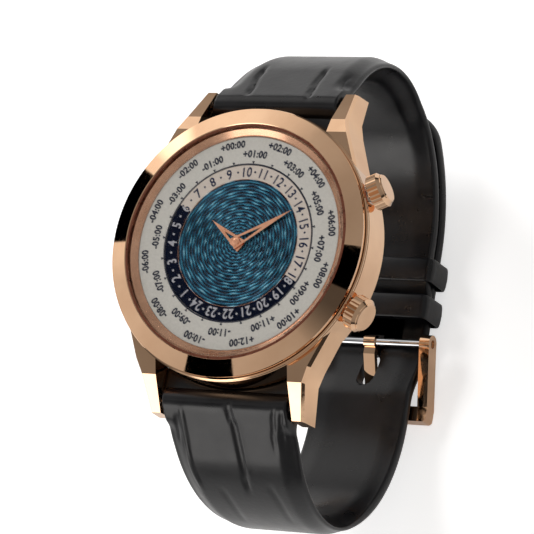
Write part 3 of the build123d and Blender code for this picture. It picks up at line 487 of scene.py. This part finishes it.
class RingPrint:
    # Marks that lie on a dial ring, bent round the watch's axis: print, and thin bands of metal or of painted
    # shadow.
    def __init__(self, lift):
        self.points = []
        self.faces = []
        self.level = dial_height + lift

    def add(self, points, faces, radius, angle):
        start = len(self.points)
        for along, outward in points:
            x, y = clock_point(radius + outward, math.radians(angle) + along / radius)
            self.points.append((x, y, self.level))
        for face in faces:
            self.faces.append(tuple(start + index for index in reversed(face)))

    def text(self, text, radius, angle, height, squeeze, weight):
        points, faces = letter_shapes(text, height, squeeze, weight)
        self.add(points, faces, radius, angle)

    def dot(self, radius, angle, size, sides=16):
        points = [polar(size, 360 * step / sides) for step in range(sides)]
        self.add(points, [tuple(range(sides))], radius, angle)

    def arrow(self, radius, angle, length, half_width):
        points = [(-half_width, length / 2), (0, -length / 2), (half_width, length / 2)]
        self.add(points, [(0, 1, 2)], radius, angle)

    def band(self, inner, outer, parts=256):
        start = len(self.points)
        for step in range(parts):
            angle = 2 * math.pi * step / parts
            for radius in (inner, outer):
                x, y = clock_point(radius, angle)
                self.points.append((x, y, self.level))
        for step in range(parts):
            here = start + 2 * step
            after = start + 2 * ((step + 1) % parts)
            self.faces.append((here, here + 1, after + 1, after))

    def finish(self, name, body, material):
        return mesh_piece(name, self.points, self.faces, body, material, smooth=False)


def build_hour24_print():
    # Numbers 1 to 24 with dots between them, dark on the day half and pale on the night half.
    ring_marks = RingPrint(text_lift)
    for hour in range(1, 25):
        angle = hour_step * (hour - 10) - hour24_rotation
        ring_marks.text(str(hour), numeral_radius, angle, height=1.42, squeeze=0.84, weight=0.02)
        ring_marks.dot(numeral_radius, angle + hour_step / 2, size=0.16)
    marks = two_tone("hour24_marks", ((0.012, 0.018, 0.05), (0.02, 0.028, 0.065)),
                     ((0.36, 0.36, 0.4), (0.44, 0.43, 0.45)), 0.45)
    ring_marks.finish("hour24_numerals", "hour24_ring", marks)
    edge = RingPrint(text_lift / 2)
    edge.band(centre_dial_radius + 0.01, centre_dial_radius + 0.04)
    edge.finish("hour24_inner_line", "hour24_ring", rose_satin)
    paint("hour24_ring", two_tone("hour24_base", ((0.56, 0.49, 0.43), (0.62, 0.545, 0.48)),
                                  ((0.0005, 0.002, 0.01), (0.001, 0.004, 0.016)), 0.45))


def build_city_print():
    # Plain offsets from universal time in two rows, an arrow at each hour, and a dark band at the ring's
    # inner edge that is a painted shadow of the raised 24-hour ring.
    ring_marks = RingPrint(text_lift)
    for offset in range(-11, 13):
        angle = hour_step * (offset - 1) + city_rotation
        radius = inner_row_radius if offset % 2 else outer_row_radius
        ring_marks.text("%+03d:00" % offset, radius, angle, height=1.02, squeeze=0.9, weight=0.045)
        ring_marks.arrow(arrow_radius, angle, length=0.48, half_width=0.21)
    # Painted shadow: a dark band along the city ring's inner edge, where the raised 24-hour ring shades it.
    ring_marks.band(ring_gap_radius + 0.02, ring_gap_radius + 0.22)
    ring_marks.finish("city_offsets_and_shadow", "city_ring", navy_print_and_shadow)
    paint("city_ring", painted("city_silver", (0.53, 0.51, 0.465), (0.6, 0.58, 0.53), 0.4, metallic=0.15,
                               grain=2600))


build_centre_dial()
build_hour24_print()
build_city_print()


# Strap
def smooth(value):
    value = min(1.0, max(0.0, value))
    return value * value * (3 - 2 * value)


def mix(first, second, share):
    return first + (second - first) * share


lead_angle = math.radians(strap_lead_angle)
bend_y = strap_bar_y + strap_lead * math.cos(lead_angle) - strap_bend_radius * math.sin(lead_angle)
bend_z = strap_bar_z - strap_lead * math.sin(lead_angle) - strap_bend_radius * math.cos(lead_angle)
flat_z = bend_z - strap_bend_radius
outer_z = flat_z - 2 * strap_thin_half - strap_layer_gap
bend_length = strap_bend_radius * math.radians(180 - strap_lead_angle)
outer_bend_radius = strap_bend_radius + 2 * strap_thin_half + strap_layer_gap
flat_start = strap_lead + bend_length
ramp_start = flat_start + bend_y - ramp_start_y
ramp_end = ramp_start + ramp_start_y - ramp_end_y
tail_start = ramp_end + ramp_end_y + bend_y
tail_end = tail_start + outer_bend_radius * math.radians(strap_tail_angle)
short_end = flat_start + bend_y - buckle_bar_y


def strap_place(s):
    # Middle line of a half strap in side view: place, outward normal and half thickness at s mm from the bar.
    if s <= strap_lead:
        share = max(0.0, s) / strap_lead
        return (strap_bar_y + s * math.cos(lead_angle), strap_bar_z - s * math.sin(lead_angle),
                math.sin(lead_angle), math.cos(lead_angle), mix(strap_end_radius, strap_thick_half, share))
    if s <= flat_start:
        turn = math.pi / 2 - lead_angle - (s - strap_lead) / strap_bend_radius
        thin_span = math.pi / 2 - lead_angle - math.radians(strap_thin_angle)
        share = min(1.0, (s - strap_lead) / strap_bend_radius / thin_span)
        return (bend_y + strap_bend_radius * math.cos(turn), bend_z + strap_bend_radius * math.sin(turn),
                math.cos(turn), math.sin(turn), mix(strap_thick_half, strap_thin_half, share))
    if s <= ramp_start:
        return (bend_y - (s - flat_start), flat_z, 0.0, -1.0, strap_thin_half)
    if s <= tail_start:
        drop = smooth((s - ramp_start) / (ramp_end - ramp_start))
        return (bend_y - (s - flat_start), mix(flat_z, outer_z, drop), 0.0, -1.0, strap_thin_half)
    turn = (s - tail_start) / outer_bend_radius
    return (-bend_y - outer_bend_radius * math.sin(turn), bend_z - outer_bend_radius * math.cos(turn),
            -math.sin(turn), -math.cos(turn), strap_thin_half)


def strap_width(z):
    taper_top = strap_bar_z - strap_taper_start
    taper_low = bend_z - strap_taper_drop
    share = min(1.0, max(0.0, (taper_top - z) / (taper_top - taper_low)))
    return mix(strap_half_width, strap_end_half_width, share) - strap_side_gap


def across(path, s):
    # A fold's place across the strap at s, from a few (s, x) points, or None beyond its ends.
    if s < path[0][0] or s > path[-1][0]:
        return None
    for (s0, x0), (s1, x1) in zip(path, path[1:]):
        if s <= s1:
            return mix(x0, x1, smooth((s - s0) / (s1 - s0)))
    return None


# Long folds of each half strap: (path as (s, x) points, height, width)
lower_folds = [
    ([(-1.6, 0.8), (-0.5, 0.7), (2.5, 1.2), (8.4, 1.2), (14.0, 0.6)], -0.5, 0.26),
    ([(0.0, 1.5), (2.5, 1.8), (8.4, 1.8), (12.0, 1.2)], 0.1, 0.4),
    ([(-0.6, -6.6), (4.0, -6.8), (9.0, -7.0), (14.0, -6.6)], 0.26, 0.22),
    ([(0.6, -7.6), (3.0, -7.9), (6.5, -8.2)], -0.24, 0.3),
    ([(-1.4, 8.0), (1.5, 7.4), (4.3, 6.9), (7.5, 6.8)], -0.22, 0.2),
    ([(-0.8, 9.0), (2.0, 8.5), (4.2, 8.2), (6.5, 8.0)], -0.2, 0.18),
    ([(11.0, 4.4), (15.0, 4.9), (21.0, 4.5)], -0.12, 0.4),
    ([(12.0, -3.4), (16.0, -3.0), (22.0, -3.4)], -0.12, 0.4),
]
upper_folds = [
    ([(-0.5, -4.7), (1.7, -5.0), (5.8, -5.8), (10.0, -6.0)], -0.45, 0.28),
    ([(-1.1, 5.1), (1.6, 4.6), (4.5, 4.2), (9.5, 4.0)], -0.45, 0.28),
    ([(2.0, 8.6), (5.0, 8.1), (8.0, 8.3)], -0.2, 0.22),
]


def fold_height(folds, s, x):
    # Sum of the folds' heights at s along and x across the strap.
    fold_rise = 1.5
    fold_fade = 3.0
    total = 0.0
    for path, height, width in folds:
        place = across(path, s)
        if place is None:
            continue
        ends = smooth((s - path[0][0]) / fold_rise) * smooth((path[-1][0] - s) / fold_fade)
        total += height * ends * math.exp(-((x - place) / width) ** 2)
    return total


def grid_solid(rows):
    # Faces of a closed tube from equal rings of points, closed at both ends.
    points = [point for row in rows for point in row]
    count = len(rows[0])
    faces = []
    for row in range(len(rows) - 1):
        for column in range(count):
            here = row * count + column
            beside = row * count + (column + 1) % count
            faces.append((here, beside, beside + count, here + count))
    faces.append(tuple(reversed(range(count))))
    faces.append(tuple(range(len(points) - count, len(points))))
    return points, faces


def strap_ring(s, half, folds, squeeze, columns=72):
    # One closed ring of points across a half strap; squeeze is its share of the full width. The roll at the
    # bar is nearly flat to its sides, the padded part behind it thins to them, and the thin part less so.
    roll_end, roll_fade = 1.6, 2.4
    pad_end, pad_fade = 26.0, 22.0
    thin_edge, roll_edge = 0.82, 0.97
    pad_edge_top, pad_edge_bottom = 0.5, 0.06
    edge_round = 0.5
    slope_top, slope_bottom = 2.8, 3.6
    fold_margin = 0.8
    skin_gap = 0.03
    y, z, ny, nz, _ = strap_place(s)
    width = strap_width(z) * squeeze
    root = 1 - smooth((s - roll_end) / roll_fade)
    pad = 1 - smooth((s - pad_end) / pad_fade)
    edge_top = half * mix(mix(thin_edge, pad_edge_top, pad), roll_edge, root)
    edge_bottom = half * mix(mix(-thin_edge, pad_edge_bottom, pad), -roll_edge, root)
    middle = (edge_top + edge_bottom) / 2
    edge_half = (edge_top - edge_bottom) / 2
    upper = []
    lower = []
    for column in range(columns + 1):
        x = width * math.sin(math.pi * (column / columns - 0.5))
        inset = width - abs(x)
        edge = math.sqrt(max(0.0, 1 - (1 - min(1.0, inset / edge_round)) ** 2))
        top = middle + edge_half * edge + (half - edge_top) * smooth(inset / slope_top)
        bottom = middle - edge_half * edge - (half + edge_bottom) * smooth(inset / slope_bottom)
        reach = smooth(inset / fold_margin) * min(1.0, half)
        top += (fold_height(folds, s, x) - skin_gap) * reach
        upper.append((x, y + ny * top, z + nz * top))
        lower.append((x, y + ny * bottom, z + nz * bottom))
    return upper + lower[-2:0:-1]


def steps(start, end, size):
    # Evenly spaced values from start to end, about size apart.
    count = max(1, round((end - start) / size))
    return [start + (end - start) * index / count for index in range(count + 1)]


def build_half(name, node, hand, end, folds, tip_round):
    # A half strap swept from its round end at the bar to its tip; each place is (s, half thickness, squeeze).
    end_rings = 8
    tip_rings = 12
    ring_spacing = 0.5
    blunt_share = 0.8  # of the half thickness at the very tip of the tail
    blunt_half = 0.06  # least half thickness where the leather ends round the buckle bar
    round_end = strap_end_radius * leather_share
    quarter = math.pi / 2
    places = []
    for k in range(1, end_rings):
        turn = quarter * k / end_rings
        places.append((-round_end * math.cos(turn), round_end * math.sin(turn), 1.0))
    for s in steps(0.0, end - tip_round, ring_spacing):
        places.append((s, strap_place(s)[4] * leather_share, 1.0))
    half = strap_thin_half * leather_share
    for k in range(1, tip_rings + 1):
        back = tip_round * math.sin(quarter * k / tip_rings)
        rest = math.sqrt(max(0.0, tip_round ** 2 - back ** 2))
        if tip_round > half:
            share = 1 - (tip_round - rest) / strap_end_half_width
            places.append((end - tip_round + back, half * (1.0 if k < tip_rings else blunt_share), share))
        else:
            places.append((end - tip_round + back, max(blunt_half, rest), 1.0))
    rows = []
    for s, ring_half, share in places:
        ring = strap_ring(s, ring_half, folds, share)
        rows.append([(x, hand * y, z) for x, y, z in ring])
    points, faces = grid_solid(rows)
    if hand < 0:
        faces = [tuple(reversed(face)) for face in faces]
    piece = mesh_piece(name, points, faces, "case", leather)
    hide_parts(node)
    return piece


def cut_out(piece, points, faces):
    # Takes a closed shape, in millimetres, out of a piece.
    data = bpy.data.meshes.new("cutter")
    data.from_pydata([(x * mm, y * mm, z * mm) for x, y, z in points], [], faces)
    cutter = linked("cutter", data)
    cutting = piece.modifiers.new("cut", "BOOLEAN")
    cutting.object = cutter
    cutting.operation = "DIFFERENCE"
    cutting.solver = "EXACT"
    shaped = bpy.data.meshes.new_from_object(piece.evaluated_get(bpy.context.evaluated_depsgraph_get()))
    piece.modifiers.clear()
    piece.data = shaped
    bpy.data.objects.remove(cutter)
    bpy.data.meshes.remove(data)


def bar_shape(y, z, radius, reach, sides=32):
    # A round bar along X.
    rows = []
    for x in (-reach, reach):
        ring = [polar(radius, 360 * step / sides) for step in range(sides)]
        rows.append([(x, y + a, z + b) for a, b in ring])
    return grid_solid(rows)


def plan_shape(outline, bottom, top):
    # A straight prism over an outline seen from above.
    return grid_solid([[(x, y, bottom) for x, y in outline], [(x, y, top) for x, y in outline]])


def stadium(centre_y, width, length):
    # Outline of a slot with round ends, long in Y.
    radius = width / 2
    parts = 12
    points = []
    for middle, start in ((centre_y + length / 2 - radius, 0), (centre_y - length / 2 + radius, 180)):
        for step in range(parts + 1):
            x, y = polar(radius, start + 180 * step / parts)
            points.append((x, middle + y))
    return points


def build_heel(name, hand):
    # The ledge behind the rolled end, curved to the case: dark leather put where there is only shade, a
    # painted shadow.
    columns = 40
    sides = 24
    squareness = 0.6
    outer = strap_bar_y - shade_heel_bar_distance
    rows = []
    for index in range(columns + 1):
        x = shade_heel_half_width * (2 * index / columns - 1)
        inner = math.sqrt(shade_heel_radius ** 2 - x * x)
        ring = []
        for step in range(sides):
            a, b = polar(1, 360 * step / sides)
            shrink = max(abs(a), abs(b)) ** squareness
            ring.append((x, hand * ((inner + outer) / 2 + (outer - inner) / 2 * a / shrink),
                         shade_heel_middle + shade_heel_half_height * b / shrink))
        rows.append(ring)
    points, faces = grid_solid(rows)
    if hand < 0:
        faces = [tuple(reversed(face)) for face in faces]
    shade_heel = mesh_piece(name, points, faces, "case", leather)


def build_keeper(name, body):
    # A narrow leather loop with a crowned outside, in place of its CAD node.
    low, high = [[value / mm for value in corner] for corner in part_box(name)]
    half_x = (high[0] - low[0]) / 2 - keeper_wall
    half_z = (high[2] - low[2]) / 2 - keeper_wall
    centre = [(a + b) / 2 for a, b in zip(low, high)]
    half_y = (high[1] - low[1]) / 2 - keeper_end_gap
    sides = 20
    corner_parts = 8
    crown_drop = 0.25
    wall_share = 0.95
    section = []
    for step in range(sides):
        a, b = polar(1, 360 * step / sides)
        along = half_y * math.copysign(abs(a) ** 0.35, a)
        rise = keeper_wall * (0.5 + 0.5 * math.copysign(abs(b) ** 0.5, b))
        crown = 1 - crown_drop * (along / half_y) ** 2
        section.append((along, keeper_inner_gap + (rise * crown if b > 0 else rise) * wall_share))
    rows = []
    for quarter, (sx, sz) in enumerate(((1, 1), (-1, 1), (-1, -1), (1, -1))):
        for step in range(corner_parts + 1):
            a, b = polar(1, 90 * quarter + 90 * step / corner_parts)
            rows.append([(centre[0] + sx * (half_x - keeper_corner) + a * (keeper_corner + out),
                          centre[1] + along,
                          centre[2] + sz * (half_z - keeper_corner) + b * (keeper_corner + out))
                         for along, out in section])
    points = [point for row in rows for point in row]
    count = len(section)
    faces = []
    for row in range(len(rows)):
        after = (row + 1) % len(rows)
        for column in range(count):
            beside = (column + 1) % count
            faces.append((row * count + column, after * count + column, after * count + beside,
                          row * count + beside))
    loop = mesh_piece(name + "_loop", points, faces, body, leather)
    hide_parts(name)


def build_strap():
    # The upper half ends round the buckle bar, the lower half ends in the rounded tail.
    buckle_end_round = strap_thin_half * leather_share
    short = build_half("strap_short_leather", "strap_short", 1, short_end + buckle_end_round, upper_folds,
                       buckle_end_round)
    cut_out(short, *bar_shape(strap_bar_y, strap_bar_z, spring_bar_hole_radius, strap_cut_reach))
    cut_out(short, *bar_shape(buckle_bar_y, flat_z, buckle_bar_hole_radius, strap_cut_reach))
    slot = [(-tongue_slot_half_width, buckle_bar_y - tongue_slot_behind),
            (tongue_slot_half_width, buckle_bar_y - tongue_slot_behind),
            (tongue_slot_half_width, buckle_bar_y + tongue_slot_ahead),
            (-tongue_slot_half_width, buckle_bar_y + tongue_slot_ahead)]
    cut_out(short, *plan_shape(slot, flat_z - 2, flat_z + 2))
    long = build_half("strap_long_leather", "strap_long", -1, tail_end, lower_folds, strap_tip_round)
    cut_out(long, *bar_shape(-strap_bar_y, strap_bar_z, spring_bar_hole_radius, strap_cut_reach))
    hole = stadium(buckle_bar_y - tongue_hole_offset, tongue_hole_width, tongue_hole_length)
    cut_out(long, *plan_shape(hole, outer_z - 3, flat_z + 3))
    # Painted shadow: dark leather heels in the gap between case and strap.
    build_heel("strap_short_shade_heel", 1)
    build_heel("strap_long_shade_heel", -1)
    build_keeper("fixed_keeper", "case")
    build_keeper("sliding_keeper", "sliding_keeper")


build_strap()


# Camera
def aim_camera():
    # Axes, distance and lens as worked out from known points of the watch in the photograph.
    right = Vector((0.8804, 0.1655, -0.4444))
    up = Vector((-0.0325, 0.9559, 0.2917))
    back = Vector((0.4732, -0.2425, 0.8470))
    distance = 474.0
    data = bpy.data.cameras.new("camera")
    data.sensor_width = 36.0
    data.lens = 233.2
    data.shift_x = 0.0554
    data.shift_y = -0.0452
    data.clip_start = 0.01
    data.clip_end = 20.0
    camera = linked("camera", data)
    turn = Matrix((right, up, back)).transposed().to_4x4()
    place = (Vector((0, 0, dial_height)) + distance * back) * mm
    camera.matrix_world = Matrix.Translation(place) @ turn
    bpy.context.scene.camera = camera


# Floor, light and world
def build_floor(height):
    # A matt white floor just under the strap.
    data = bpy.data.meshes.new("floor")
    reach = 0.35
    data.from_pydata([(-reach, -reach, height), (reach, -reach, height), (reach, reach, height),
                      (-reach, reach, height)], [], [(0, 1, 2, 3)])
    floor = linked("floor", data)
    mat, tree, shader = new_material("floor_white")
    settings(shader, Roughness=0.9, Specular_IOR_Level=0.1, Emission_Color=(1, 1, 1, 1))
    # White to the camera and through glass, a middle gray in metal
    path = tree.nodes.new("ShaderNodeLightPath")
    seen = math_node(tree, "MAXIMUM", path.outputs["Is Camera Ray"], path.outputs["Is Transmission Ray"])
    mirrored = math_node(tree, "MULTIPLY", path.outputs["Is Glossy Ray"], 0.1)
    seen = math_node(tree, "MAXIMUM", seen, mirrored)
    tree.links.new(map_range(tree, seen, 0.0, 1.0, 0.08, 0.6), shader.inputs["Emission Strength"])
    grain = noise(tree, object_coordinates(tree), 30)
    tree.links.new(ramp(tree, grain, [(0.3, (0.88, 0.88, 0.88)), (0.7, (0.9, 0.9, 0.9))]),
                   shader.inputs["Base Color"])
    data.materials.append(mat)


# Flags and softboxes of the studio: (direction, inner and outer radius in degrees, level inside)
flags = [
    ((0.082, 0.145, 0.987), 5.4, 5.7, 0.0),
    ((-0.496, -0.271, 0.826), 7.1, 7.4, 0.0),
    ((-0.839, 0.340, 0.427), 7.2, 7.5, 0.0),
    ((0.06, 0.02, 0.998), 3.0, 14.0, 0.25),
    ((-0.473, 0.243, 0.847), 5.0, 16.0, 0.45),
    ((-0.473, -0.520, 0.710), 8.0, 14.0, 0.45),
]
softboxes = [
    ((-0.473, -0.78, 0.41), 13.0, 22.0, 2.2),
    ((-0.673, 0.588, 0.451), 9.0, 32.0, 0.56),
    ((-0.743, 0.609, 0.278), 5.0, 9.0, 2.5),
]
# Level of the plain sky from left (0) to right (1), and its share from the floor (0) up
sky_sweep = [(0.0, 0.76), (0.08, 0.72), (0.18, 0.57), (0.35, 0.52), (0.45, 0.45), (0.53, 0.34), (1.0, 0.3)]
sky_rise = [(0.0, 0.15), (0.06, 0.8), (0.3, 1.0)]


def gray_stops(levels):
    return [(place, (level, level, level)) for place, level in levels]


def build_world():
    # White behind the object; for all other rays a sky with flags and softboxes, darker towards the floor.
    world = bpy.data.worlds.new("studio")
    bpy.context.scene.world = world
    world.use_nodes = True
    tree = world.node_tree
    tree.nodes.clear()
    out = tree.nodes.new("ShaderNodeOutputWorld")
    sky = tree.nodes.new("ShaderNodeBackground")
    white = tree.nodes.new("ShaderNodeBackground")
    white.inputs["Color"].default_value = (1, 1, 1, 1)
    direction = tree.nodes.new("ShaderNodeTexCoord").outputs["Generated"]
    split = tree.nodes.new("ShaderNodeSeparateXYZ")
    tree.links.new(direction, split.inputs["Vector"])
    rise = ramp(tree, split.outputs["Z"], gray_stops(sky_rise))
    side = map_range(tree, split.outputs["X"], -1.0, 1.0, 0.0, 1.0)
    sweep = ramp(tree, side, gray_stops(sky_sweep))
    level = math_node(tree, "MULTIPLY", rise, sweep)
    for patches, operation in ((softboxes, "ADD"), (flags, "MULTIPLY")):
        for centre, inner, outer, inside in patches:
            towards = vector_math(tree, "DOT_PRODUCT", direction, Vector(centre).normalized())
            outside = 0.0 if operation == "ADD" else 1.0
            step = map_range(tree, towards, math.cos(math.radians(outer)), math.cos(math.radians(inner)),
                             outside, inside)
            level = math_node(tree, operation, level, step)
    sky.inputs["Color"].default_value = (1.0, 0.975, 0.95, 1)
    tree.links.new(level, sky.inputs["Strength"])
    path = tree.nodes.new("ShaderNodeLightPath")
    plain = math_node(tree, "MAXIMUM", path.outputs["Is Camera Ray"], path.outputs["Is Transmission Ray"])
    choice = tree.nodes.new("ShaderNodeMixShader")
    tree.links.new(plain, choice.inputs["Fac"])
    tree.links.new(sky.outputs["Background"], choice.inputs[1])
    tree.links.new(white.outputs["Background"], choice.inputs[2])
    tree.links.new(choice.outputs["Shader"], out.inputs["Surface"])


def area_light(name, place, target, size, power):
    data = bpy.data.lights.new(name, "AREA")
    data.shape = "RECTANGLE"
    data.size = size[0]
    data.size_y = size[1]
    data.energy = power
    lamp = linked(name, data)
    lamp.visible_glossy = False
    lamp.visible_transmission = False
    lamp.location = place
    lamp.rotation_euler = (Vector(target) - Vector(place)).to_track_quat("-Z", "Y").to_euler()


def build_lights():
    area_light("key", (-0.5, 0.45, 0.6), (0, 0, 0), (0.35, 0.35), 3.0)
    area_light("side", (0.7, -0.2, 0.25), (0, 0, 0), (0.3, 0.5), 0.12)


aim_camera()
build_floor(cad_box[0][2])
build_world()
build_lights()
bpy.context.scene.view_settings.view_transform = "Standard"
